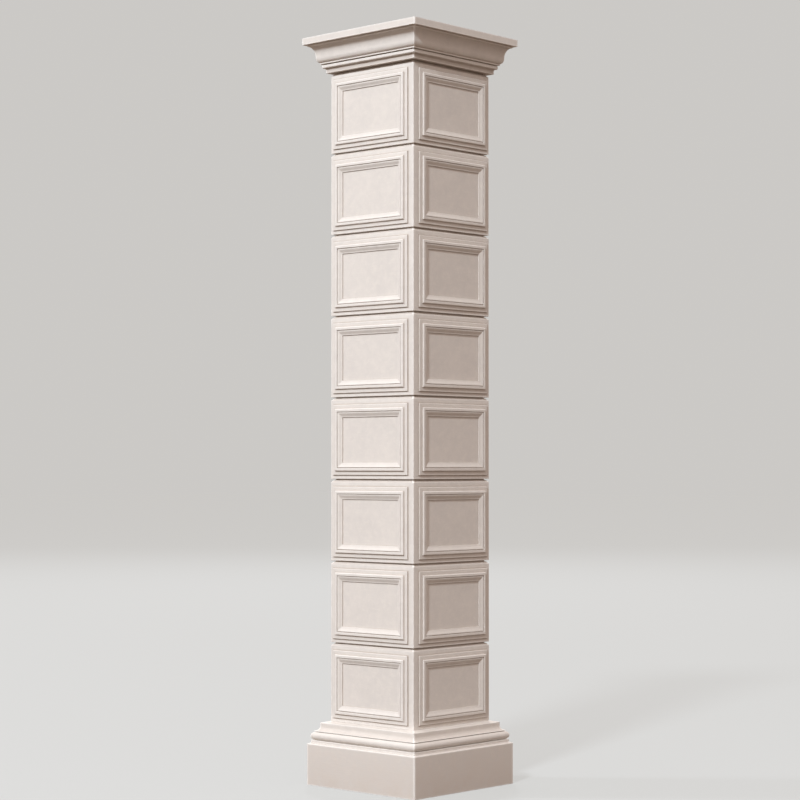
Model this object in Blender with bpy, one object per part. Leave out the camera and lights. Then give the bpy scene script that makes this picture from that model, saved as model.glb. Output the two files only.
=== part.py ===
# A decorative corner quoin: a plinth, a base moulding, eight stacked corner blocks with framed
# panels on both outer faces, and a crown. Every piece is L-shaped in plan and wraps an outside corner.
# Sizes are in metres, +Z is up. The outer corner of the shaft points to +X and -Y, one leg runs
# back along -X and the other along +Y, and the origin is under the middle of the shaft's square.

import math

import bmesh
import bpy

# Plan
LEG_LENGTH = 0.379            # outer corner of the shaft to the free end of each leg
LEG_DEPTH = 0.230             # face of a leg to the wall it stands against
PIECE_GAP = 0.0003            # between pieces that rest on each other

# Plinth
PLINTH_PROJECTION = 0.057     # past the faces of the shaft
PLINTH_FACE_HEIGHT = 0.137
PLINTH_BEVEL_HEIGHT = 0.0035
PLINTH_BEVEL_WIDTH = 0.008

# Base moulding
BASE_LEDGE = 0.0015           # plinth left bare between its bevel and the moulding
BASE_FILLET_HEIGHT = 0.0095
TORUS_RADIUS = 0.0138
TORUS_OVERHANG = 0.0015       # past the fillet below it
BASE_QUIRK_DEPTH = 0.002
BASE_QUIRK_HEIGHT = 0.0016
SCOTIA_LIP_STEP = 0.0053      # past the middle of the torus
SCOTIA_LIP_HEIGHT = 0.0015
SCOTIA_DEPTH = 0.015
SCOTIA_HEIGHT = 0.0165
BASE_TOP_FILLET_HEIGHT = 0.0105
BASE_WEATHERING_HEIGHT = 0.0055

# Courses of the shaft
COURSE_COUNT = 8
COURSE_HEIGHT = 0.275
FIRST_COURSE_CUT = 0.0093     # the lowest block is this much shorter at its foot
LAST_COURSE_CUT = 0.0012      # the highest block is this much shorter at its head
BLOCK_CHAMFER = 0.007         # round the top edge of a block
JOINT_HEIGHT = 0.004          # open height of the recessed joint
JOINT_RECESS = 0.004          # depth of the recessed joint behind the chamfer
END_ARRIS = 0.003             # on the upright edge of a free end

# Panel frame on each outer face of a block
FRAME_CORNER_MARGIN = 0.0245
FRAME_END_MARGIN = 0.0145
FRAME_TOP_MARGIN = 0.0258
FRAME_BOTTOM_MARGIN = 0.0128

# Section of the panel frame: width in the face, height off the face
FOOT_LIFT = 0.001             # upright step at the foot of the frame
FOOT_BEAD = 0.0028            # quarter round above it
COVE_WIDTH = 0.0088
COVE_RISE = 0.0012
SHOULDER_WIDTH = 0.004
SHOULDER_RISE = 0.0053
CREST_WIDTH = 0.0075
FRAME_QUIRK_WIDTH = 0.003
FRAME_QUIRK_DEPTH = 0.0038
LIP_DROP = 0.0014             # inner lip below the crest
LIP_WIDTH = 0.0012
OGEE_WIDTH = 0.013            # curve that falls to the panel
OGEE_DROP = 0.0071
PANEL_STEP_WIDTH = 0.0015

# Crown
BAND_PROJECTION = 0.0128
BAND_HEIGHT = 0.0115
CROWN_COVE_WIDTH = 0.0072
CROWN_COVE_HEIGHT = 0.005
NOSE_HEIGHT = 0.011
NOSE_RADIUS = 0.0025
CROWN_QUIRK_DEPTH = 0.0025
CROWN_QUIRK_HEIGHT = 0.0025
CYMA_FILLET_STEP = 0.005      # past the nose
CYMA_FILLET_HEIGHT = 0.0055
CYMA_ROUND_WIDTH = 0.0105
CYMA_ROUND_HEIGHT = 0.0185
CYMA_HOLLOW_WIDTH = 0.020
CYMA_HOLLOW_HEIGHT = 0.036
CYMA_LIP_HEIGHT = 0.0055
SLAB_OVERHANG = 0.012         # past the lip of the cyma
SLAB_HEIGHT = 0.0225

# Steps in each quarter of a curve
FRAME_STEPS = 3
MOULDING_STEPS = 7

SAME_POINT = 0.00001          # closer points are one

# Finishes: colour, roughness
PAINTED_PLASTER = ((0.78, 0.74, 0.70, 1.0), 0.62)

HALF_SHAFT = LEG_LENGTH / 2
WALL_FACE = HALF_SHAFT - LEG_DEPTH      # plane of the wall behind each leg


def clear_scene():
    for item in list(bpy.data.objects):
        bpy.data.objects.remove(item, do_unlink=True)


def plaster(name):
    colour, roughness = PAINTED_PLASTER
    material = bpy.data.materials.new(name)
    material.use_nodes = True
    shader = material.node_tree.nodes["Principled BSDF"]
    shader.inputs["Base Color"].default_value = colour
    shader.inputs["Roughness"].default_value = roughness
    shader.inputs["Metallic"].default_value = 0.0
    return material


def place_piece(name, bm):
    mesh = bpy.data.meshes.new(name)
    bm.to_mesh(mesh)
    bm.free()
    mesh.materials.append(plaster(name + "_plaster"))
    piece = bpy.data.objects.new(name, mesh)
    bpy.context.collection.objects.link(piece)
    return piece


def quarter(centre, radii, start, steps):
    """Points of a quarter ellipse, 90 degrees on from start; a negative radius turns it about."""
    points = []
    for step in range(steps + 1):
        angle = math.radians(start + 90 * step / steps)
        points.append((centre[0] + radii[0] * math.cos(angle), centre[1] + radii[1] * math.sin(angle)))
    return points


def without_repeats(points):
    """The points of a section, each one once where two curves meet."""
    kept = points[:1]
    for point in points[1:]:
        if math.dist(point, kept[-1]) > SAME_POINT:
            kept.append(point)
    return kept


def plan_ring(projection, arris=0.0):
    """The L of a piece in plan, anticlockwise from its outer corner, faces moved out by projection."""
    face = HALF_SHAFT + projection
    ring = [(face, -face), (face, face), (WALL_FACE, face)]
    if arris:
        ring[1:2] = [(face, face - arris), (face - arris, face)]
    mirrored = [(-y, -x) for x, y in reversed(ring[1:])]
    return ring + [(WALL_FACE, -WALL_FACE)] + mirrored


def loft(section, arris=0.0):
    """A closed L-shaped solid through (projection, height) points, bottom to top."""
    bm = bmesh.new()
    rings = []
    for projection, height in without_repeats(section):
        rings.append([bm.verts.new((x, y, height)) for x, y in plan_ring(projection, arris)])
    count = len(rings[0])
    sides = []
    for lower, upper in zip(rings, rings[1:]):
        band = []
        for i in range(count):
            j = (i + 1) % count
            band.append(bm.faces.new((lower[i], lower[j], upper[j], upper[i])))
        sides.append(band)
    inner = count // 2
    for ring, flip in ((rings[0], True), (rings[-1], False)):
        for cap in (ring[:inner + 1], ring[inner:] + ring[:1]):
            bm.faces.new(list(reversed(cap)) if flip else cap)
    bm.normal_update()
    return bm, sides


def frame_section():
    """The panel frame's profile from its foot to the panel, as (width, height) points."""
    foot_top = FOOT_LIFT + FOOT_BEAD
    cove_top = foot_top + COVE_RISE
    crest = cove_top + SHOULDER_RISE
    points = [(0.0, 0.0)]
    points += quarter((FOOT_BEAD, FOOT_LIFT), (FOOT_BEAD, -FOOT_BEAD), 180, FRAME_STEPS)
    u = FOOT_BEAD
    points += quarter((u, cove_top), (COVE_WIDTH, COVE_RISE), -90, FRAME_STEPS)[1:]
    u += COVE_WIDTH + SHOULDER_WIDTH
    points += quarter((u, cove_top), (SHOULDER_WIDTH, -SHOULDER_RISE), 180, FRAME_STEPS)[1:]
    u += CREST_WIDTH
    points.append((u, crest))
    points.append((u, crest - FRAME_QUIRK_DEPTH))
    u += FRAME_QUIRK_WIDTH
    points.append((u, crest - FRAME_QUIRK_DEPTH))
    lip = crest - LIP_DROP
    points.append((u, lip))
    u += LIP_WIDTH
    points.append((u, lip))
    for step in range(1, 2 * FRAME_STEPS + 1):
        share = step / (2 * FRAME_STEPS)
        points.append((u + OGEE_WIDTH * share, lip - OGEE_DROP * (1 - math.cos(math.pi * share)) / 2))
    u += OGEE_WIDTH + PANEL_STEP_WIDTH
    points.append((u, lip - OGEE_DROP))
    points.append((u, 0.0))
    return points


def set_frame_outline(face, low, high):
    """Move a face's four corners out or in to the frame's outline, kept in the face's own plane."""
    middle = face.calc_center_median()
    along = 0 if abs(face.normal.x) < abs(face.normal.y) else 1
    for vert in face.verts:
        vert.co[along] = high[0] if vert.co[along] > middle[along] else low[0]
        vert.co.z = high[1] if vert.co.z > middle.z else low[1]


def raise_frame(bm, face, low, high):
    """Work the panel frame on one outer face, between the given corners."""
    bmesh.ops.inset_region(bm, faces=[face], thickness=FRAME_END_MARGIN, use_even_offset=True)
    set_frame_outline(face, low, high)
    section = frame_section()
    for (u0, h0), (u1, h1) in zip(section, section[1:]):
        bmesh.ops.inset_region(bm, faces=[face], thickness=u1 - u0, depth=h1 - h0, use_even_offset=True)


def make_block(name, course_bottom, bottom, top):
    """One corner block: chamfered head, recessed joint above it, a frame on both outer faces."""
    course_top = course_bottom + COURSE_HEIGHT
    chamfer_top = top - JOINT_HEIGHT
    joint = -BLOCK_CHAMFER - JOINT_RECESS
    section = [(0.0, bottom),
               (0.0, chamfer_top - BLOCK_CHAMFER),
               (-BLOCK_CHAMFER, chamfer_top),
               (joint, chamfer_top),
               (joint, top)]
    bm, sides = loft(section, END_ARRIS)
    frame_bottom = bottom + FRAME_BOTTOM_MARGIN
    frame_top = course_top - FRAME_TOP_MARGIN
    near = HALF_SHAFT - FRAME_CORNER_MARGIN
    far = HALF_SHAFT - FRAME_END_MARGIN
    raise_frame(bm, sides[0][0], (-near, frame_bottom), (far, frame_top))
    raise_frame(bm, sides[0][-1], (-far, frame_bottom), (near, frame_top))
    return place_piece(name, bm)


def make_plinth():
    section = [(PLINTH_PROJECTION, 0.0),
               (PLINTH_PROJECTION, PLINTH_FACE_HEIGHT),
               (PLINTH_PROJECTION - PLINTH_BEVEL_WIDTH, PLINTH_FACE_HEIGHT + PLINTH_BEVEL_HEIGHT)]
    bm, _ = loft(section)
    place_piece("plinth", bm)
    return PLINTH_FACE_HEIGHT + PLINTH_BEVEL_HEIGHT


def base_section(bottom):
    """Fillet, torus, quirk, scotia, top fillet and weathered top, as (projection, height) points."""
    fillet = PLINTH_PROJECTION - PLINTH_BEVEL_WIDTH - BASE_LEDGE
    points = [(fillet, bottom + PIECE_GAP)]
    z = bottom + BASE_FILLET_HEIGHT
    points.append((fillet, z))
    torus_centre = (fillet + TORUS_OVERHANG - TORUS_RADIUS, z + TORUS_RADIUS)
    lower = quarter(torus_centre, (TORUS_RADIUS, TORUS_RADIUS), -90, MOULDING_STEPS)
    upper = quarter(torus_centre, (TORUS_RADIUS, TORUS_RADIUS), 0, MOULDING_STEPS)
    points += lower + upper[1:]
    z += 2 * TORUS_RADIUS
    quirk = torus_centre[0] - BASE_QUIRK_DEPTH
    points.append((quirk, z))
    z += BASE_QUIRK_HEIGHT
    points.append((quirk, z))
    lip = torus_centre[0] + SCOTIA_LIP_STEP
    points.append((lip, z))
    z += SCOTIA_LIP_HEIGHT + SCOTIA_HEIGHT
    points += quarter((lip, z), (-SCOTIA_DEPTH, SCOTIA_HEIGHT), -90, MOULDING_STEPS)
    z += BASE_TOP_FILLET_HEIGHT
    points.append((lip - SCOTIA_DEPTH, z))
    z += BASE_WEATHERING_HEIGHT
    points.append((0.0, z))
    return points


def make_base_moulding(bottom):
    section = base_section(bottom)
    bm, _ = loft(section)
    place_piece("base_moulding", bm)
    return section[-1][1]


def make_blocks(base_top):
    """The stacked blocks, set out in equal courses; the two end blocks are cut to fit."""
    first_line = base_top - FIRST_COURSE_CUT
    for index in range(COURSE_COUNT):
        course_bottom = first_line + index * COURSE_HEIGHT
        bottom = base_top if index == 0 else course_bottom
        top = course_bottom + COURSE_HEIGHT
        if index == COURSE_COUNT - 1:
            top -= LAST_COURSE_CUT
        make_block("quoin_block_%d" % (index + 1), course_bottom, bottom + PIECE_GAP, top)
    return top


def crown_section(bottom):
    """Band, cove, nosed fillet, quirk, cyma and top slab, as (projection, height) points."""
    z = bottom + BAND_HEIGHT
    points = [(BAND_PROJECTION, bottom + PIECE_GAP)]
    nose = BAND_PROJECTION + CROWN_COVE_WIDTH
    points += quarter((nose, z), (CROWN_COVE_WIDTH, -CROWN_COVE_HEIGHT), 180, MOULDING_STEPS)
    z += CROWN_COVE_HEIGHT
    points += quarter((nose, z + NOSE_RADIUS), (NOSE_RADIUS, NOSE_RADIUS), -90, FRAME_STEPS)
    z += NOSE_HEIGHT
    points += quarter((nose, z - NOSE_RADIUS), (NOSE_RADIUS, NOSE_RADIUS), 0, FRAME_STEPS)
    quirk = nose - CROWN_QUIRK_DEPTH
    points.append((quirk, z))
    z += CROWN_QUIRK_HEIGHT
    points.append((quirk, z))
    fillet = nose + NOSE_RADIUS + CYMA_FILLET_STEP
    points.append((fillet, z))
    z += CYMA_FILLET_HEIGHT
    round_top = z + CYMA_ROUND_HEIGHT
    points += quarter((fillet, round_top), (CYMA_ROUND_WIDTH, CYMA_ROUND_HEIGHT), -90, MOULDING_STEPS)
    lip = fillet + CYMA_ROUND_WIDTH + CYMA_HOLLOW_WIDTH
    points += quarter((lip, round_top), (CYMA_HOLLOW_WIDTH, -CYMA_HOLLOW_HEIGHT), 180, MOULDING_STEPS)[1:]
    z = round_top + CYMA_HOLLOW_HEIGHT + CYMA_LIP_HEIGHT
    points.append((lip, z))
    points.append((lip + SLAB_OVERHANG, z))
    points.append((lip + SLAB_OVERHANG, z + SLAB_HEIGHT))
    return points


def make_crown(bottom):
    bm, _ = loft(crown_section(bottom))
    place_piece("crown", bm)


def build():
    clear_scene()
    plinth_top = make_plinth()
    base_top = make_base_moulding(plinth_top)
    shaft_top = make_blocks(base_top)
    make_crown(shaft_top)


build()
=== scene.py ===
# Corner quoin in painted plaster: a plinth, a base moulding, eight panelled blocks and a crown.
# The shaft's outer corner points to +X and -Y. The left leg shows its face to -Y, the right leg to +X.
import math

import bmesh
import bpy
import numpy as np
from mathutils import Matrix, Vector


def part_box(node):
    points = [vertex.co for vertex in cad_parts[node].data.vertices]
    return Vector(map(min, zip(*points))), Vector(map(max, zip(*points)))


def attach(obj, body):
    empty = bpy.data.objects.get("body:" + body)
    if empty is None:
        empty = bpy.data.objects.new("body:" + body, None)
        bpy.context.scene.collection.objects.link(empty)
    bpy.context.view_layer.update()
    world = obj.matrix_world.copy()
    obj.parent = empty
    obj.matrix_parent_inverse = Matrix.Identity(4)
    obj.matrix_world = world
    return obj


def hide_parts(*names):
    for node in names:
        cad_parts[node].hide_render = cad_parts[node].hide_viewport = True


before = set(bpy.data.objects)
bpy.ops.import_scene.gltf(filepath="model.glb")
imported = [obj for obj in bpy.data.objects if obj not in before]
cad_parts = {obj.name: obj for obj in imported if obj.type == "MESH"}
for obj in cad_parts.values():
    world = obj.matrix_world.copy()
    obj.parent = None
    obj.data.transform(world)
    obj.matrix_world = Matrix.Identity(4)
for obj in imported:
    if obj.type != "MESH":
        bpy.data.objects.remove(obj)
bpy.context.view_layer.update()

quoin = {
    "legDepth": 0.230,       # face of a leg to its back
    "cornerArris": 0.0022,   # radius of the upright edge at the outer corner
    "endArris": 0.003,       # radius of the upright edges at the free ends
    "backArris": 0.0006,     # radius of the upright edges beside the backs
    "edgeRadius": 0.0005,    # radius left on moulded edges; plain edges have twice that
    "easedShare": 0.32,      # share of the shorter side beside it that an eased edge may take
    "guardReach": 2.4,       # where the flat beside an eased edge is pinned, in radii
    "guardShare": 0.46,      # and as a share of that flat, at most
    "cornerBends": 5,        # cuts round each upright edge
    "faceParts": 24,         # cuts along a face of a ring piece
    "endParts": 8,           # cuts along a free end and along a back
    "lip": 0.006,            # how far a flat top or underside is worked back from its edge
    "arrisHighlight": 2.2,        # how strongly an arris shows its painted highlight
    "hollowShade": 1.5,       # how strongly a hollow shows its painted shade
    "paintedShadeFade": 0.01,        # height over which the painted shade low on a ring piece thins out
    "waver": 0.00025,        # how far the hand-cast faces fall back, at most
    "waverLength": 0.16,     # from one swell to the next
    "waverPaces": (0.5, 2.4),  # slowest and quickest wave against that length
    "waverWaves": 7,
    "waverPush": 1.6,        # how far the waves' mean is pushed towards its limits
    "waverSeed": 11,
    "backReach": 0.0001,     # a point this near the plane of a back doesn't waver
    "weld": 2e-6,            # points nearer than this are one
    "sliver": 1e-7,          # edges shorter than this are taken out
    "smoothAngle": 40,
    "slot": "painted_plaster",
}

# The backs lie at x = backPlane on the right leg and at y = -backPlane on the left one.
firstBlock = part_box("quoin_block_1")
halfShaft = -firstBlock[0].x
backPlane = halfShaft - quoin["legDepth"]
print("frame loaded, shaft", round(halfShaft * 2, 4), "m wide")


# Points of a quarter ellipse: the centre plus the radii times the cosine and sine of an angle
# that grows by 90 degrees from the start in equal steps.
def quarterCurve(centre, radii, start, steps=8):
    turn = np.radians(start + np.linspace(0.0, 90.0, steps + 1))
    return np.stack([centre[0] + radii[0] * np.cos(turn), centre[1] + radii[1] * np.sin(turn)], 1)


def withoutRepeats(points, near=1e-7):
    gap = np.linalg.norm(np.diff(points, axis=0), axis=1)
    return points[np.r_[True, gap > near]]


# A sharp corner p becomes the curve (1-t)^2 a + 2t(1-t) p + t^2 b, where a and b stand one radius back
# and one radius on along its sides; a guard point past each keeps the flats beside it flat.
def easedCorners(points, radius, bends=4, sharpTurn=22.0):
    easedShare, guardReach, guardShare = [quoin[key] for key in ("easedShare", "guardReach", "guardShare")]
    points = withoutRepeats(np.asarray(points, float))
    corner = points[1:-1]
    back, on = points[:-2] - corner, points[2:] - corner
    backLength = np.linalg.norm(back, axis=1)[:, None]
    onLength = np.linalg.norm(on, axis=1)[:, None]
    back, on = back / backLength, on / onLength
    sharp = ((-back * on).sum(1) < math.cos(math.radians(sharpTurn)))[:, None, None]
    reach = np.minimum(radius, easedShare * np.minimum(backLength, onLength))
    a, b = corner + back * reach, corner + on * reach
    t = np.linspace(0.0, 1.0, bends + 1)[None, :, None]
    curve = (1 - t) ** 2 * a[:, None] + 2 * t * (1 - t) * corner[:, None] + t ** 2 * b[:, None]
    guardBack = corner + back * np.minimum(guardReach * radius, guardShare * backLength)
    guardOn = corner + on * np.minimum(guardReach * radius, guardShare * onLength)
    rounded = np.concatenate([guardBack[:, None], curve, guardOn[:, None]], 1)
    kept = np.where(sharp, rounded, corner[:, None])
    return withoutRepeats(np.concatenate([points[:1], kept.reshape(-1, 2), points[-1:]]))


# Extra points on the long sides of a curve, at a few short distances from both of their ends.
def refined(profile, distances=(0.0007, 0.0016, 0.003, 0.006)):
    length = np.linalg.norm(np.diff(profile, axis=0), axis=1)
    along = np.r_[0.0, np.cumsum(length)]
    fits = np.array(distances) < length[:, None] / 2
    extra = [(along[:-1, None] + distances)[fits], (along[1:, None] - distances)[fits]]
    at = np.unique(np.concatenate([along] + extra))
    return withoutRepeats(np.stack([np.interp(at, along, profile[:, k]) for k in (0, 1)], 1), 1e-5)


# How far each point of a profile stands out past the middle of the two points a given reach before and
# after it along the curve, as a share of that reach: positive on an arris, negative in a hollow.
# Three reaches are averaged.
def standingOut(profile, outward, reaches=(0.0014, 0.003, 0.0055)):
    along = np.r_[0.0, np.cumsum(np.linalg.norm(np.diff(profile, axis=0), axis=1))]
    total = np.zeros(len(profile))
    for reach in reaches:
        before, after = [np.stack([np.interp(along + step, along, profile[:, k]) for k in (0, 1)], 1)
                         for step in (-reach, reach)]
        chord = (after - before) / np.linalg.norm(after - before, axis=1)[:, None]
        normal = outward * np.stack([chord[:, 1], -chord[:, 0]], 1)
        total += ((profile - (before + after) / 2) * normal).sum(1) / reach
    return total / len(reaches)


# Where a side is cut, from 0 up to but not including 1: close to both ends, and evenly between.
def stations(parts, near=0.012):
    return np.r_[0.0, near, np.linspace(3 * near, 1 - 3 * near, parts - 3), 1 - near]


# The L in plan as a base line and a lean: a point of the piece stands at base + projection * lean.
# Round a corner of radius r the base is corner - r (n1 + n2) + r e, with e turning from n1 to n2.
# Also how far each place stands out as an upright arris, and the side that it belongs to.
def planPath(faceParts):
    h, w, bends, endParts = halfShaft, backPlane, quoin["cornerBends"], quoin["endParts"]
    corners = [
        # place, normals before and after, lean, radius, sharpness, parts of the side that follows
        ((h, -h), (0, -1), (1, 0), (1, -1), quoin["cornerArris"], 0.7, faceParts),
        ((h, h), (1, 0), (0, 1), (1, 1), quoin["endArris"], 0.6, endParts),
        ((w, h), (0, 1), (-1, 0), (0, 1), quoin["backArris"], 0.4, endParts),
        ((w, -w), (-1, 0), (0, 1), (0, 0), 0.0, 0.0, endParts),
        ((-h, -w), (0, 1), (-1, 0), (-1, 0), quoin["backArris"], 0.4, endParts),
        ((-h, -h), (-1, 0), (0, -1), (-1, -1), quoin["endArris"], 0.6, faceParts),
    ]
    base, lean, parts, arris = [], [], [], []
    for place, before, after, slope, radius, sharpness, sideParts in corners:
        turn = np.linspace(0.0, math.pi / 2, bends + 1 if radius else 1)[:, None]
        before, after = np.array(before, float), np.array(after, float)
        arc = before * np.cos(turn) + after * np.sin(turn)
        base.append(np.array(place) + radius * (arc - before - after))
        lean.append(np.repeat(np.array([slope], float), len(arc), 0))
        parts += [1] * (len(arc) - 1) + [sideParts]
        arris += [sharpness] * len(arc)
    base, lean = np.concatenate(base), np.concatenate(lean)
    side = np.repeat(np.arange(len(base)), parts)
    along = np.concatenate([stations(n) if n > 1 else np.zeros(1) for n in parts])[:, None]
    nextBase, nextLean = np.roll(base, -1, 0), np.roll(lean, -1, 0)
    base = base[side] + (nextBase[side] - base[side]) * along
    lean = lean[side] + (nextLean[side] - lean[side]) * along
    return base, lean, np.array(arris)[side] * (along[:, 0] == 0), side


# A (projection, height) profile carried along the plan: every point is base + projection * lean, at its height.
def carriedAlong(profile, base, lean):
    flat = base[None] + profile[:, :1, None] * lean[None]
    height = np.broadcast_to(profile[:, 1][:, None, None], flat.shape[:2] + (1,))
    return np.concatenate([flat, height], 2)


# Quads between neighbouring rows and columns of a grid; closed joins the last column to the first.
def gridQuads(rows, columns, closed):
    i, j = np.meshgrid(np.arange(rows - 1), np.arange(columns if closed else columns - 1), indexing="ij")
    k = (j + 1) % columns
    return np.stack([i * columns + j, i * columns + k, (i + 1) * columns + k, (i + 1) * columns + j], -1)


# The flat underside and top of an L, each cut in two along the mitre from the outer corner to the inner one.
def capLoops(rows, lean):
    outer = (quoin["cornerBends"] + 1) // 2
    inner = int(np.argmin(np.abs(lean).sum(1)))
    halves = [np.arange(outer, inner + 1), np.r_[np.arange(inner, len(lean)), np.arange(outer + 1)]]
    top = (rows - 1) * len(lean)
    return [half[::-1].tolist() for half in halves] + [(half + top).tolist() for half in halves]


# How far hand work leaves a face behind true, from 0 to 1: half of 1 plus the hyperbolic tangent of a push
# times the mean of sine waves that run in several directions.
def waverAt(points):
    q = quoin
    rng = np.random.default_rng(q["waverSeed"])
    heading = rng.normal(size=(q["waverWaves"], 3))
    heading /= np.linalg.norm(heading, axis=1)[:, None]
    pace = math.tau / q["waverLength"] * rng.uniform(*q["waverPaces"], q["waverWaves"])
    waves = np.sin(points @ (heading * pace[:, None]).T + rng.uniform(0, math.tau, q["waverWaves"]))
    return 0.5 + 0.5 * np.tanh(waves.mean(1) * q["waverPush"])


def readVectors(items, name):
    values = np.zeros(len(items) * 3, np.float32)
    items.foreach_get(name, values)
    return values.reshape(-1, 3).astype(float)


def addAttribute(mesh, name, values):
    layer = mesh.attributes.new(name, "FLOAT", "POINT")
    layer.data.foreach_set("value", values.astype(np.float32))


# Joins grids and loops into one closed piece, marks its arrises and hollows, and lets its faces waver.
def castPiece(name, node, points, quads, loops, shape, finish):
    mesh = bpy.data.meshes.new(name)
    mesh.from_pydata(points.tolist(), [], quads.tolist() + loops)
    # arris carries the painted highlight and hollow the painted shade that the finish lays on
    addAttribute(mesh, "arris", np.clip(shape * quoin["arrisHighlight"], 0, 1))
    addAttribute(mesh, "hollow", np.clip(shape * -quoin["hollowShade"], 0, 1))
    work = bmesh.new()
    work.from_mesh(mesh)
    bmesh.ops.remove_doubles(work, verts=work.verts, dist=quoin["weld"])
    bmesh.ops.dissolve_degenerate(work, edges=work.edges, dist=quoin["sliver"])
    work.to_mesh(mesh)
    work.free()
    place, normals = readVectors(mesh.vertices, "co"), readVectors(mesh.vertices, "normal")
    upright = np.sqrt(np.clip(1 - normals[:, 2:] ** 2, 0, 1))
    inside = backPlane + quoin["backReach"]
    onBack = (place[:, 0] < inside) & (place[:, 1] > -inside)
    depth = quoin["waver"] * waverAt(place)[:, None] * upright * ~onBack[:, None]
    place -= normals * depth
    mesh.vertices.foreach_set("co", place.astype(np.float32).ravel())
    mesh.shade_smooth()
    mesh.set_sharp_from_angle(angle=math.radians(quoin["smoothAngle"]))
    mesh.materials.append(finish)
    mesh.validate()
    piece = bpy.data.objects.new(name, mesh)
    bpy.context.scene.collection.objects.link(piece)
    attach(piece, "root")
    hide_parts(node)
    print(name, len(mesh.polygons), "faces")
    return piece


# How far each point of a profile carried along the plan stands out: what its profile and the upright arrises
# give together, without the arrises on the flat top and underside.
def ringShape(profile, arris):
    upright = np.ones((len(profile), 1))
    upright[[0, -1]] = 0
    return standingOut(profile, 1)[:, None] + arris * upright


# A piece with one profile all round: the plinth, the base moulding and the crown. Painted shade darkens it
# by the given share up to a height, and thins out just below that.
def ringPiece(name, node, profile, finish, paintedShade=0.0, paintedShadeTop=0.0):
    profile = refined(profile)
    base, lean, arris, _ = planPath(quoin["faceParts"])
    grid = carriedAlong(profile, base, lean)
    rows, columns = grid.shape[:2]
    shape = ringShape(profile, arris)
    # painted shade, full below its top less the fade
    shape -= paintedShade * np.clip((paintedShadeTop - profile[:, 1:]) / quoin["paintedShadeFade"], 0, 1)
    quads = gridQuads(rows, columns, True).reshape(-1, 4)
    return castPiece(name, node, grid.reshape(-1, 3), quads, capLoops(rows, lean), shape.ravel(), finish)


# Shader maths: one socket with the operators that the finishes use.
class Wire:
    def __init__(self, finish, socket):
        self.finish, self.socket = finish, socket

    def maths(self, operation, *values):
        return self.finish.add("ShaderNodeMath", {"operation": operation}, dict(enumerate(values)))

    def __add__(self, other): return self.maths("ADD", self, other)
    def __radd__(self, other): return self.maths("ADD", other, self)
    def __sub__(self, other): return self.maths("SUBTRACT", self, other)
    def __rsub__(self, other): return self.maths("SUBTRACT", other, self)
    def __mul__(self, other): return self.maths("MULTIPLY", self, other)
    def __rmul__(self, other): return self.maths("MULTIPLY", other, self)
    def above(self, limit): return self.maths("GREATER_THAN", self, limit)


class Finish:
    def __init__(self, name):
        self.material = bpy.data.materials.new(name)
        self.material.use_nodes = True
        self.nodes = self.material.node_tree.nodes
        self.shader = self.nodes["Principled BSDF"]

    # Adds a node: its settings first, then the value or wire of each named or numbered socket. What comes
    # back is one of its outputs, by number.
    def add(self, kind, settings=None, sockets=None, output=0):
        node = self.nodes.new(kind)
        for key, value in (settings or {}).items():
            setattr(node, key, value)
        for key, value in (sockets or {}).items():
            self.plug(node.inputs[key], value)
        return Wire(self, node.outputs[output])

    def plug(self, socket, value):
        if isinstance(value, Wire):
            self.material.node_tree.links.new(value.socket, socket)
        else:
            socket.default_value = value

    def blend(self, factor, under, over):
        settings = {"data_type": "RGBA", "blend_type": "MIX", "clamp_factor": True}
        return self.add("ShaderNodeMix", settings, {0: factor, 6: under, 7: over}, output=2)

    def noise(self, place, scale, detail, roughness, distortion):
        sockets = {"Vector": place, "Scale": scale, "Detail": detail, "Roughness": roughness,
                   "Distortion": distortion}
        return self.add("ShaderNodeTexNoise", {}, sockets)

    # Stretches low..high to 0..1 and holds it there.
    def spread(self, value, low, high):
        sockets = {"Value": value, "From Min": low, "From Max": high}
        return self.add("ShaderNodeMapRange", {"clamp": True}, sockets)

    # Two noises as one: the second by its share, the first by the rest.
    def mixed(self, first, second, share):
        return first * (1 - share) + second * share

    # A mark's strength: its least where the noise is 0, and 1 where the noise is 1.
    def uneven(self, least, noise):
        return least + (1 - least) * noise

    def axis(self, place, number):
        return self.add("ShaderNodeSeparateXYZ", {}, {"Vector": place}, output=number)

    def mark(self, name):
        return self.add("ShaderNodeAttribute", {"attribute_name": name}, output=2)


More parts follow.
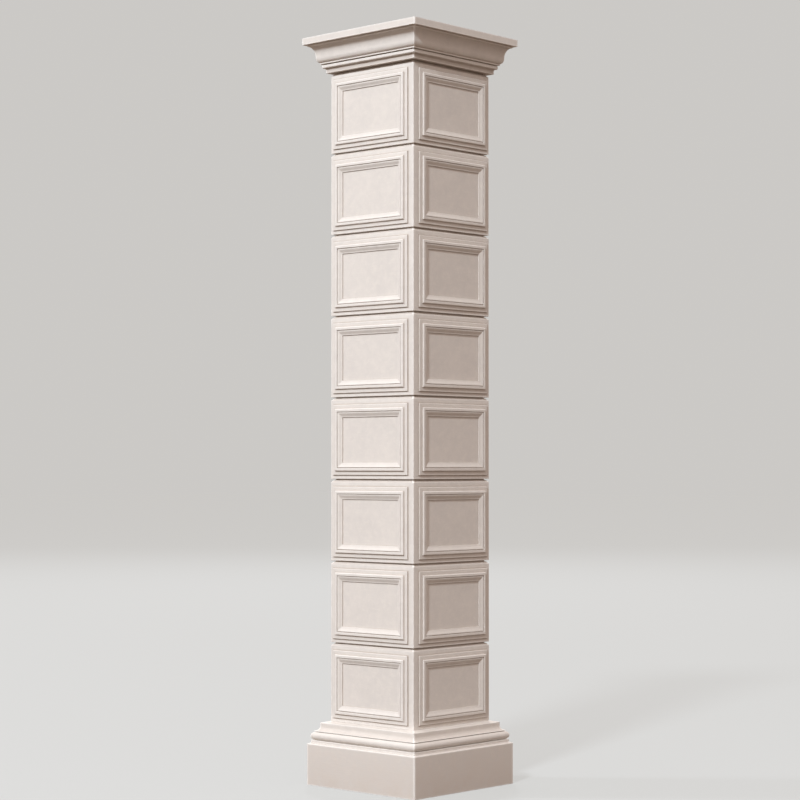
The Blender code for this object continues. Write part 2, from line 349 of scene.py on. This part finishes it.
plasterLook = {
    "paint": (0.80, 0.748, 0.695, 1.0),       # the coat as a whole
    "paintCool": (0.745, 0.700, 0.655, 1.0),  # where it clouds over
    "paintWarm": (0.835, 0.785, 0.725, 1.0),  # where the brush left more
    # painted highlight on arrises and the margins beside them
    "highlightTone": (0.93, 0.90, 0.86, 1.0),
    # flecks in the grain, and painted shade in hollows, creases, joints and round the crown's foot
    "fleckAndShadeTone": (0.40, 0.325, 0.265, 1.0),
    "bareTone": (0.60, 0.575, 0.54, 1.0),     # the unpainted backs
    "lowShadeTone": (0.56, 0.47, 0.40, 1.0),     # painted shade, darkest at the foot
    # scale, detail, roughness and distortion of each noise
    "cloud": (9.0, 5.0, 0.6, 0.6),
    "mottle": (42.0, 5.0, 0.62, 0.3),
    "grain": (650.0, 3.0, 0.7, 0.0),
    "drag": (1.0, 4.0, 0.6, 0.0),
    "dragScale": (26.0, 26.0, 210.0),         # the brush goes level along the faces
    # where each mark sets in and where it is full, in the noise that it follows
    "patchSpan": (0.36, 0.62),
    "brushSpan": (0.50, 0.72),
    "speckSpan": (0.30, 0.42),
    "paintedShadeSpan": (0.35, 0.80),
    "highlightSpan": (0.30, 0.60),
    "bareSpan": (0.35, 0.65),
    # how much of a second noise each mark takes in
    "patchMottle": 0.45,
    "brushDrag": 0.4,
    "paintedShadeGrain": 0.3,
    "swellDrag": 0.3,
    # how much of its tone each mark lays over the coat, and the least share of that anywhere
    "brushShare": 0.7,
    "speckShare": 0.12,
    "paintedShadeShare": 0.75,
    "paintedShadeLeast": 0.75,
    "highlightLeast": 0.6,
    "lowShadeShare": 0.5,
    "lowShadeLeast": 0.4,
    "lowShadeHeight": 0.24,
    "bareReach": 0.0003,     # how far in front of the planes of the backs their bare tone ends
    "roughness": 0.62,
    "roughnessVaries": 0.10,
    "bareRoughness": 0.12,   # added on the backs
    "specular": 0.35,
    "toothStrength": 0.35,
    "toothDepth": 0.0006,
    "swellStrength": 0.30,
    "swellDepth": 0.0022,
}


# Paint on plaster: a coat that clouds and mottles, with a painted highlight on arrises, painted shade in
# hollows and darker towards the foot, over a fine tooth with a slight drag of the brush; the backs are left
# bare.
def makePaintedPlaster():
    look = plasterLook
    f = Finish("paintedPlaster")
    place = f.add("ShaderNodeTexCoord", output=3)
    cloud, mottle, grain = [f.noise(place, *look[name]) for name in ("cloud", "mottle", "grain")]
    dragged = f.add("ShaderNodeMapping", {}, {"Vector": place, "Scale": look["dragScale"]})
    drag = f.noise(dragged, *look["drag"])

    patchy = f.spread(f.mixed(cloud, mottle, look["patchMottle"]), *look["patchSpan"])
    coat = f.blend(patchy, look["paintCool"], look["paint"])
    brushed = f.spread(f.mixed(mottle, drag, look["brushDrag"]), *look["brushSpan"])
    coat = f.blend(brushed * look["brushShare"], coat, look["paintWarm"])
    speck = 1 - f.spread(grain, *look["speckSpan"])
    coat = f.blend(speck * look["speckShare"], coat, look["fleckAndShadeTone"])
    # painted shade: darker towards the foot, where less light reaches
    low = 1 - f.spread(f.axis(place, 2), 0.0, look["lowShadeHeight"])
    lowShaded = low * f.uneven(look["lowShadeLeast"], patchy)
    coat = f.blend(lowShaded * look["lowShadeShare"], coat, look["lowShadeTone"])

    # painted shade in hollows, creases, joints and round the crown's foot, broken up by noise
    paintedShadeNoise = f.spread(cloud + grain * look["paintedShadeGrain"], *look["paintedShadeSpan"])
    shadedHollows = f.mark("hollow") * f.uneven(look["paintedShadeLeast"], paintedShadeNoise)
    coat = f.blend(shadedHollows * look["paintedShadeShare"], coat, look["fleckAndShadeTone"])
    # painted highlight on arrises and the margins beside them, broken up by noise
    highlighted = f.mark("arris") * f.uneven(look["highlightLeast"], f.spread(mottle, *look["highlightSpan"]))
    coat = f.blend(highlighted, coat, look["highlightTone"])
    bareCoat = f.blend(f.spread(mottle, *look["bareSpan"]), look["bareTone"], look["paintCool"])
    inside = backPlane + look["bareReach"]
    bare = (1 - f.axis(place, 0).above(inside)) * f.axis(place, 1).above(-inside)
    f.plug(f.shader.inputs["Base Color"], f.blend(bare, coat, bareCoat))

    varied = look["roughness"] + look["roughnessVaries"] * (grain - mottle)
    f.plug(f.shader.inputs["Roughness"], varied + look["bareRoughness"] * bare)
    f.plug(f.shader.inputs["Specular IOR Level"], look["specular"])
    tooth = f.add("ShaderNodeBump", {}, {"Strength": look["toothStrength"], "Distance": look["toothDepth"],
                                         "Height": grain})
    swell = f.add("ShaderNodeBump", {}, {"Strength": look["swellStrength"], "Distance": look["swellDepth"],
                                         "Height": f.mixed(mottle, drag, look["swellDrag"]), "Normal": tooth})
    f.plug(f.shader.inputs["Normal"], swell)
    return f.material


paintedPlaster = makePaintedPlaster()
print("finish made")


plinth = {
    "bevelHeight": 0.0035,
    "bevelWidth": 0.008,
}


def makePlinth():
    low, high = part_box("plinth")
    projection = high.x - halfShaft
    faceTop = high.z - plinth["bevelHeight"]
    inner = projection - plinth["bevelWidth"]
    profile = [(projection - quoin["lip"], low.z), (projection, low.z), (projection, faceTop),
               (inner, high.z), (inner - quoin["lip"], high.z)]
    return ringPiece("plinthCast", "plinth", easedCorners(profile, 2 * quoin["edgeRadius"]), paintedPlaster)


baseMoulding = {
    "ledge": 0.0015,         # top of the plinth left clear between its bevel and the moulding
    "filletHeight": 0.0095,
    "torusRadius": 0.0138,
    "torusOverhang": 0.0015,
    "quirkDepth": 0.002,
    "quirkHeight": 0.0016,
    "lipStep": 0.0053,
    "lipHeight": 0.0015,
    "scotiaDepth": 0.015,
    "scotiaHeight": 0.0165,
    "topFilletHeight": 0.0105,
}


def makeBaseMoulding():
    m = baseMoulding
    low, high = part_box("base_moulding")
    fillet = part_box("plinth")[1].x - halfShaft - plinth["bevelWidth"] - m["ledge"]
    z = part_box("plinth")[1].z + m["filletHeight"]
    middle = fillet + m["torusOverhang"] - m["torusRadius"]
    centre = (middle, z + m["torusRadius"])
    points = [np.array([(fillet - quoin["lip"], low.z), (fillet, low.z), (fillet, z)])]
    points.append(quarterCurve(centre, (m["torusRadius"], m["torusRadius"]), -90))
    points.append(quarterCurve(centre, (m["torusRadius"], m["torusRadius"]), 0)[1:])
    z += 2 * m["torusRadius"]
    quirk, lip = middle - m["quirkDepth"], middle + m["lipStep"]
    points.append(np.array([(quirk, z), (quirk, z + m["quirkHeight"]), (lip, z + m["quirkHeight"])]))
    z += m["quirkHeight"] + m["lipHeight"] + m["scotiaHeight"]
    points.append(quarterCurve((lip, z), (-m["scotiaDepth"], m["scotiaHeight"]), -90, steps=10))
    z += m["topFilletHeight"]
    points.append(np.array([(lip - m["scotiaDepth"], z), (0.0, high.z), (-quoin["lip"], high.z)]))
    profile = easedCorners(np.concatenate(points), quoin["edgeRadius"])
    return ringPiece("baseMouldingCast", "base_moulding", profile, paintedPlaster)


crown = {
    "bandProjection": 0.0128,
    "bandHeight": 0.0115,
    "coveWidth": 0.0072,
    "coveHeight": 0.005,
    "noseHeight": 0.011,
    "noseRadius": 0.0025,
    "quirkDepth": 0.0025,
    "quirkHeight": 0.0025,
    "filletStep": 0.005,
    "filletHeight": 0.0055,
    "roundWidth": 0.0105,
    "roundHeight": 0.0185,
    "hollowWidth": 0.020,
    "hollowHeight": 0.036,
    "slabHeight": 0.0225,
    "paintedShade": 0.35,            # painted shade round the crown's foot
    "paintedShadeHeight": 0.020,     # how far up that reaches
}


def makeCrown():
    c = crown
    low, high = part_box("crown")
    z = low.z + c["bandHeight"]
    nose = c["bandProjection"] + c["coveWidth"]
    points = [np.array([(c["bandProjection"] - quoin["lip"], low.z), (c["bandProjection"], low.z)])]
    points.append(quarterCurve((nose, z), (c["coveWidth"], -c["coveHeight"]), 180))
    z += c["coveHeight"]
    points.append(quarterCurve((nose, z + c["noseRadius"]), (c["noseRadius"], c["noseRadius"]), -90, steps=4))
    z += c["noseHeight"]
    points.append(quarterCurve((nose, z - c["noseRadius"]), (c["noseRadius"], c["noseRadius"]), 0, steps=4))
    quirk, fillet = nose - c["quirkDepth"], nose + c["noseRadius"] + c["filletStep"]
    points.append(np.array([(quirk, z), (quirk, z + c["quirkHeight"]), (fillet, z + c["quirkHeight"])]))
    z += c["quirkHeight"] + c["filletHeight"] + c["roundHeight"]
    points.append(quarterCurve((fillet, z), (c["roundWidth"], c["roundHeight"]), -90, steps=10))
    lip = fillet + c["roundWidth"] + c["hollowWidth"]
    points.append(quarterCurve((lip, z), (c["hollowWidth"], -c["hollowHeight"]), 180, steps=14)[1:])
    slab, under = high.x - halfShaft, high.z - c["slabHeight"]
    points.append(np.array([(lip, under), (slab, under), (slab, high.z), (slab - quoin["lip"], high.z)]))
    profile = easedCorners(np.concatenate(points), quoin["edgeRadius"])
    return ringPiece("crownCast", "crown", profile, paintedPlaster, c["paintedShade"], low.z + c["paintedShadeHeight"])


block = {
    "courseHeight": 0.275,
    "chamfer": 0.007,
    "jointHeight": 0.004,
    "jointRecess": 0.004,
    "cornerMargin": 0.0245,  # face left plain beside the frame at the outer corner
    "endMargin": 0.0145,
    "topMargin": 0.0258,
    "bottomMargin": 0.0128,
    "edgeRings": (0.0, 0.0012, 0.0035),     # cuts beside the edges of a face, inward from them
    "edgeRingHighlight": (0.25, 0.15, 0.12),     # how far each of them counts as an arris, for its painted highlight
    "edgeHighlight": 0.35,        # share of the usual painted highlight that the long edges of its head and foot show
    "headShade": 0.3,         # painted shade on the chamfer and in the joint
    "faceParts": 18,         # cuts along a face and up it
    "heightParts": 14,
}

panelFrame = {
    "footLift": 0.0028,
    "footBead": 0.0018,
    "coveWidth": 0.0116,
    "coveRise": 0.0006,
    "shoulderWidth": 0.0028,
    "shoulderRise": 0.0051,
    "crestWidth": 0.0069,
    "quirkWidth": 0.003,
    "quirkDepth": 0.0038,
    "lipDrop": 0.0014,
    "lipWidth": 0.0012,
    "ogeeWidth": 0.013,
    "ogeeDrop": 0.0056,
    "ogeeCurl": 0.45,        # 0 for a straight slope, 1 for a full wave
    "ogeeParts": 14,
    "stepWidth": 0.0015,
    "footShade": 0.3,        # painted shade in the crease at the foot
    "creaseShadeReach": 0.0025,
    "run": 0.005,            # flat of the face and of the panel that goes with the section
}


# The frame's section from the face over its bead, cove, shoulder, crest and quirk, then down its ogee and
# a step to the panel, as (inward, outward) points. At a share t of its width the ogee has dropped by the
# share (1 - curl) t + curl (1 - cos(180 t)) / 2.
def frameSection():
    p = panelFrame
    beadTop = p["footLift"] + p["footBead"]
    coveTop = beadTop + p["coveRise"]
    crest = coveTop + p["shoulderRise"]
    points = [np.array([(-p["run"], 0.0), (0.0, 0.0)])]
    points.append(quarterCurve((p["footBead"], p["footLift"]), (p["footBead"], -p["footBead"]), 180, steps=5))
    u = p["footBead"]
    points.append(quarterCurve((u, coveTop), (p["coveWidth"], p["coveRise"]), -90, steps=6))
    u += p["coveWidth"] + p["shoulderWidth"]
    points.append(quarterCurve((u, coveTop), (p["shoulderWidth"], -p["shoulderRise"]), 180, steps=5))
    u += p["crestWidth"]
    floor, lip = crest - p["quirkDepth"], crest - p["lipDrop"]
    points.append(np.array([(u, crest), (u, floor), (u + p["quirkWidth"], floor), (u + p["quirkWidth"], lip)]))
    u += p["quirkWidth"] + p["lipWidth"]
    t = np.linspace(0.0, 1.0, p["ogeeParts"] + 1)
    dropped = (1 - p["ogeeCurl"]) * t + p["ogeeCurl"] * (1 - np.cos(math.pi * t)) / 2
    points.append(np.stack([u + p["ogeeWidth"] * t, lip - p["ogeeDrop"] * dropped], 1))
    u += p["ogeeWidth"] + p["stepWidth"]
    points.append(np.array([(u, lip - p["ogeeDrop"]), (u, 0.0), (u + p["run"], 0.0)]))
    return refined(easedCorners(np.concatenate(points), quoin["edgeRadius"]))


# One framed face as nested rectangles: a point of a ring is its rectangle's low corner plus its size times
# the loop (s, t) round the unit square, standing out by the section's height; a grid closes the panel.
def framedFace(face, outline, section, across, up):
    p, q = stations(across), stations(up)
    s = np.r_[p, np.ones(up), 1 - p, np.zeros(up)]
    t = np.r_[np.zeros(across), q, np.ones(across), 1 - q]
    inward = np.array([1.0, -1.0, 1.0, -1.0])
    edges = np.array(face) + inward * np.array(block["edgeRings"])[:, None]
    bounds = np.concatenate([edges, np.array(outline) + inward * section[:, :1]])
    height = np.r_[np.zeros(len(edges)), section[:, 1]]
    x = bounds[:, :1] + (bounds[:, 1:2] - bounds[:, :1]) * s
    z = bounds[:, 2:3] + (bounds[:, 3:] - bounds[:, 2:3]) * t
    rings = np.stack([x, np.broadcast_to(height[:, None], x.shape), z], -1)
    # painted shade in the crease at the frame's foot
    creaseShade = panelFrame["footShade"] * np.exp(-(section[:, 0] / panelFrame["creaseShadeReach"]) ** 2)
    faceShape = np.r_[block["edgeRingHighlight"], standingOut(section, -1) - creaseShade]
    x0, x1, z0, z1 = bounds[-1]
    gridZ, gridX = np.meshgrid(z0 + (z1 - z0) * np.r_[q, 1], x0 + (x1 - x0) * np.r_[p, 1], indexing="ij")
    panel = np.stack([gridX, np.full_like(gridX, height[-1]), gridZ], -1)
    ringQuads = gridQuads(*rings.shape[:2], True).reshape(-1, 4)
    panelQuads = gridQuads(up + 1, across + 1, False).reshape(-1, 4) + rings.shape[0] * rings.shape[1]
    shape = np.r_[np.repeat(faceShape, rings.shape[1]), np.full(gridX.size, faceShape[-1])]
    points = np.concatenate([rings.reshape(-1, 3), panel.reshape(-1, 3)])
    return points, np.concatenate([ringQuads, panelQuads]), shape


# A block: its L carried up past the chamfer and the recessed joint, with both outer faces left open
# between their edges and filled by a framed face and its mirror image.
def makeBlock(index, section):
    b = block
    node = "quoin_block_%d" % index
    low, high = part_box(node)
    chamferTop = high.z - b["jointHeight"]
    joint = -b["chamfer"] - b["jointRecess"]
    profile = easedCorners([(-quoin["lip"], low.z), (0.0, low.z), (0.0, chamferTop - b["chamfer"]),
                            (-b["chamfer"], chamferTop), (joint, chamferTop), (joint, high.z),
                            (joint - quoin["lip"], high.z)], 2 * quoin["edgeRadius"])
    start = int(np.argmax(np.linalg.norm(np.diff(profile, axis=0), axis=1)))
    up = np.r_[stations(b["heightParts"]), 1][:, None]
    faceRows = profile[start] + (profile[start + 1] - profile[start]) * up
    below, above = refined(profile[:start + 1]), refined(profile[start + 1:])
    profile = np.concatenate([below[:-1], faceRows, above[1:]])
    start = len(below) - 1
    base, lean, arris, side = planPath(b["faceParts"])
    grid = carriedAlong(profile, base, lean)
    rows, columns = grid.shape[:2]
    # painted highlight on the edges, weaker on the long edges of the head and foot
    shape = ringShape(profile, arris) * np.where(arris > 0, 1.0, b["edgeHighlight"])
    # painted shade on the chamfer and in the recessed joint
    shape -= b["headShade"] * (profile[:, 1:] > chamferTop - b["chamfer"])
    quads = gridQuads(rows, columns, True)
    onFace = np.isin(side, np.flatnonzero(np.bincount(side) == b["faceParts"]))
    kept = np.ones(quads.shape[:2], bool)
    kept[start:start + b["heightParts"]] = ~onFace

    faceEdges = (-halfShaft + quoin["endArris"], halfShaft - quoin["cornerArris"],
                 faceRows[0, 1], faceRows[-1, 1])
    outline = (-halfShaft + b["endMargin"], halfShaft - b["cornerMargin"],
               low.z + b["bottomMargin"], b["courseTop"][index] - b["topMargin"])
    patch, patchQuads, patchShape = framedFace(faceEdges, outline, section, b["faceParts"], b["heightParts"])
    left = patch * (1, -1, 1) - (0, halfShaft, 0)
    right = np.stack([-left[:, 1], -left[:, 0], left[:, 2]], 1)
    points = np.concatenate([grid.reshape(-1, 3), left, right])
    first, second = rows * columns, rows * columns + len(left)
    allQuads = np.concatenate([quads[kept], patchQuads + first, patchQuads[:, ::-1] + second])
    allShape = np.r_[shape.ravel(), patchShape, patchShape]
    name = "quoinBlock%dCast" % index
    return castPiece(name, node, points, allQuads, capLoops(rows, lean), allShape, paintedPlaster)


# Course lines run at equal heights from the top of the lowest block.
courseCount = len([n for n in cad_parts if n.startswith("quoin_block_")])
lowestTop = firstBlock[1].z
block["courseTop"] = {i: lowestTop + (i - 1) * block["courseHeight"] for i in range(1, courseCount + 1)}

makePlinth()
makeBaseMoulding()
sharedSection = frameSection()
for number in range(1, courseCount + 1):
    makeBlock(number, sharedSection)
makeCrown()
print("pieces made")


studio = {
    "floorTone": (0.22, 0.22, 0.22),       # takes the quoin's soft shadow
    "floorGlow": (0.44, 0.449, 0.44),      # keeps it pale and even into the distance
    "floorBounce": (0.17, 0.132, 0.106),   # its tone in the dim warm light that it sends back
    "floorRoughness": 0.9,
    "floorReach": 60.0,
    "backTone": (0.60, 0.585, 0.565),      # the plain backdrop
    "skyTone": (0.577, 0.488, 0.446),      # light from all round, a little warm
    "skyLow": 0.8,                         # its strength level with the horizon
    "skyHigh": 1.5,                        # its strength overhead
    # azimuth from the left face's own direction towards the right face's, elevation, watts for each colour
    "keyLight": (20.0, 35.0, (1790.0, 1960.0, 2090.0)),
    "sideLight": (-50.0, 30.0, (915.0, 985.0, 1065.0)),
    "backLight": (-135.0, 30.0, (620.0, 665.0, 710.0)),
    "lightSize": 2.2,
    "lightDistance": 18.0,
    "lightAim": (0.1, -0.1, 1.5),
    "cameraPlace": (4.8245, -5.2372, 1.0702),
    "cameraYaw": 132.926,
    "cameraPitch": 1.053,
    "lens": 94.709,
    "sensor": 36.0,
    "shift": 0.035,
    "sightEnd": 200.0,
}


def addLight(name):
    s = studio
    azimuth, elevation, tone = s[name]
    azimuth, elevation = math.radians(azimuth), math.radians(elevation)
    towards = Vector((math.sin(azimuth) * math.cos(elevation), -math.cos(azimuth) * math.cos(elevation),
                      math.sin(elevation)))
    data = bpy.data.lights.new(name, "AREA")
    data.shape, data.size = "DISK", s["lightSize"]
    data.energy = max(tone)
    data.color = [v / max(tone) for v in tone]
    light = bpy.data.objects.new(name, data)
    light.location = Vector(s["lightAim"]) + towards * s["lightDistance"]
    light.rotation_euler = (-towards).to_track_quat("-Z", "Y").to_euler()
    bpy.context.scene.collection.objects.link(light)


# A floor that is pale and even to the eye, and sends little light back.
def makeFloor():
    s = studio
    reach = s["floorReach"]
    mesh = bpy.data.meshes.new("studioFloor")
    mesh.from_pydata([(-reach, -reach, 0), (reach, -reach, 0), (reach, reach, 0), (-reach, reach, 0)],
                     [], [(0, 1, 2, 3)])
    floor = bpy.data.objects.new("studioFloor", mesh)
    bpy.context.scene.collection.objects.link(floor)
    f = Finish("paleFloor")
    seen = f.add("ShaderNodeLightPath")
    f.plug(f.shader.inputs["Base Color"], f.blend(seen, (*s["floorBounce"], 1.0), (*s["floorTone"], 1.0)))
    f.plug(f.shader.inputs["Emission Color"], f.blend(seen, (0.0, 0.0, 0.0, 1.0), (*s["floorGlow"], 1.0)))
    f.plug(f.shader.inputs["Emission Strength"], 1.0)
    f.plug(f.shader.inputs["Roughness"], s["floorRoughness"])
    f.plug(f.shader.inputs["Specular IOR Level"], 0.0)
    mesh.materials.append(f.material)


# Light from all round that grows with height: its low strength plus the rise from low to high times the
# height of its direction, from 0 level to 1 overhead. Behind the quoin the camera sees a plain backdrop.
def makeSky():
    s = studio
    world = bpy.data.worlds.new("softSky")
    bpy.context.scene.world = world
    world.use_nodes = True
    nodes, links = world.node_tree.nodes, world.node_tree.links
    place = nodes.new("ShaderNodeTexCoord")
    axes = nodes.new("ShaderNodeSeparateXYZ")
    rise = nodes.new("ShaderNodeMapRange")
    rise.inputs["To Min"].default_value = s["skyLow"]
    rise.inputs["To Max"].default_value = s["skyHigh"]
    background = nodes["Background"]
    background.inputs["Color"].default_value = (*s["skyTone"], 1.0)
    backdrop = nodes.new("ShaderNodeBackground")
    backdrop.inputs["Color"].default_value = (*s["backTone"], 1.0)
    seen = nodes.new("ShaderNodeLightPath")
    choose = nodes.new("ShaderNodeMixShader")
    links.new(place.outputs["Generated"], axes.inputs[0])
    links.new(axes.outputs["Z"], rise.inputs["Value"])
    links.new(rise.outputs[0], background.inputs["Strength"])
    links.new(seen.outputs["Is Camera Ray"], choose.inputs[0])
    links.new(background.outputs[0], choose.inputs[1])
    links.new(backdrop.outputs[0], choose.inputs[2])
    links.new(choose.outputs[0], nodes["World Output"].inputs["Surface"])


# The camera looks along its yaw, tipped up by its pitch; right is level, and up is square to both.
def makeCamera():
    s = studio
    yaw, pitch = math.radians(s["cameraYaw"]), math.radians(s["cameraPitch"])
    ahead = Vector((math.cos(pitch) * math.cos(yaw), math.cos(pitch) * math.sin(yaw), math.sin(pitch)))
    right = Vector((math.sin(yaw), -math.cos(yaw), 0.0))
    up = right.cross(ahead)
    data = bpy.data.cameras.new("photoCamera")
    data.lens, data.sensor_width, data.shift_y = s["lens"], s["sensor"], s["shift"]
    data.clip_end = s["sightEnd"]
    camera = bpy.data.objects.new("photoCamera", data)
    facing = Matrix((right, up, -ahead)).transposed().to_4x4()
    camera.matrix_world = Matrix.Translation(s["cameraPlace"]) @ facing
    bpy.context.scene.collection.objects.link(camera)
    bpy.context.scene.camera = camera


makeFloor()
makeSky()
for lightName in ("keyLight", "sideLight", "backLight"):
    addLight(lightName)
makeCamera()
bpy.context.scene.view_settings.view_transform = "Standard"
print("studio made")
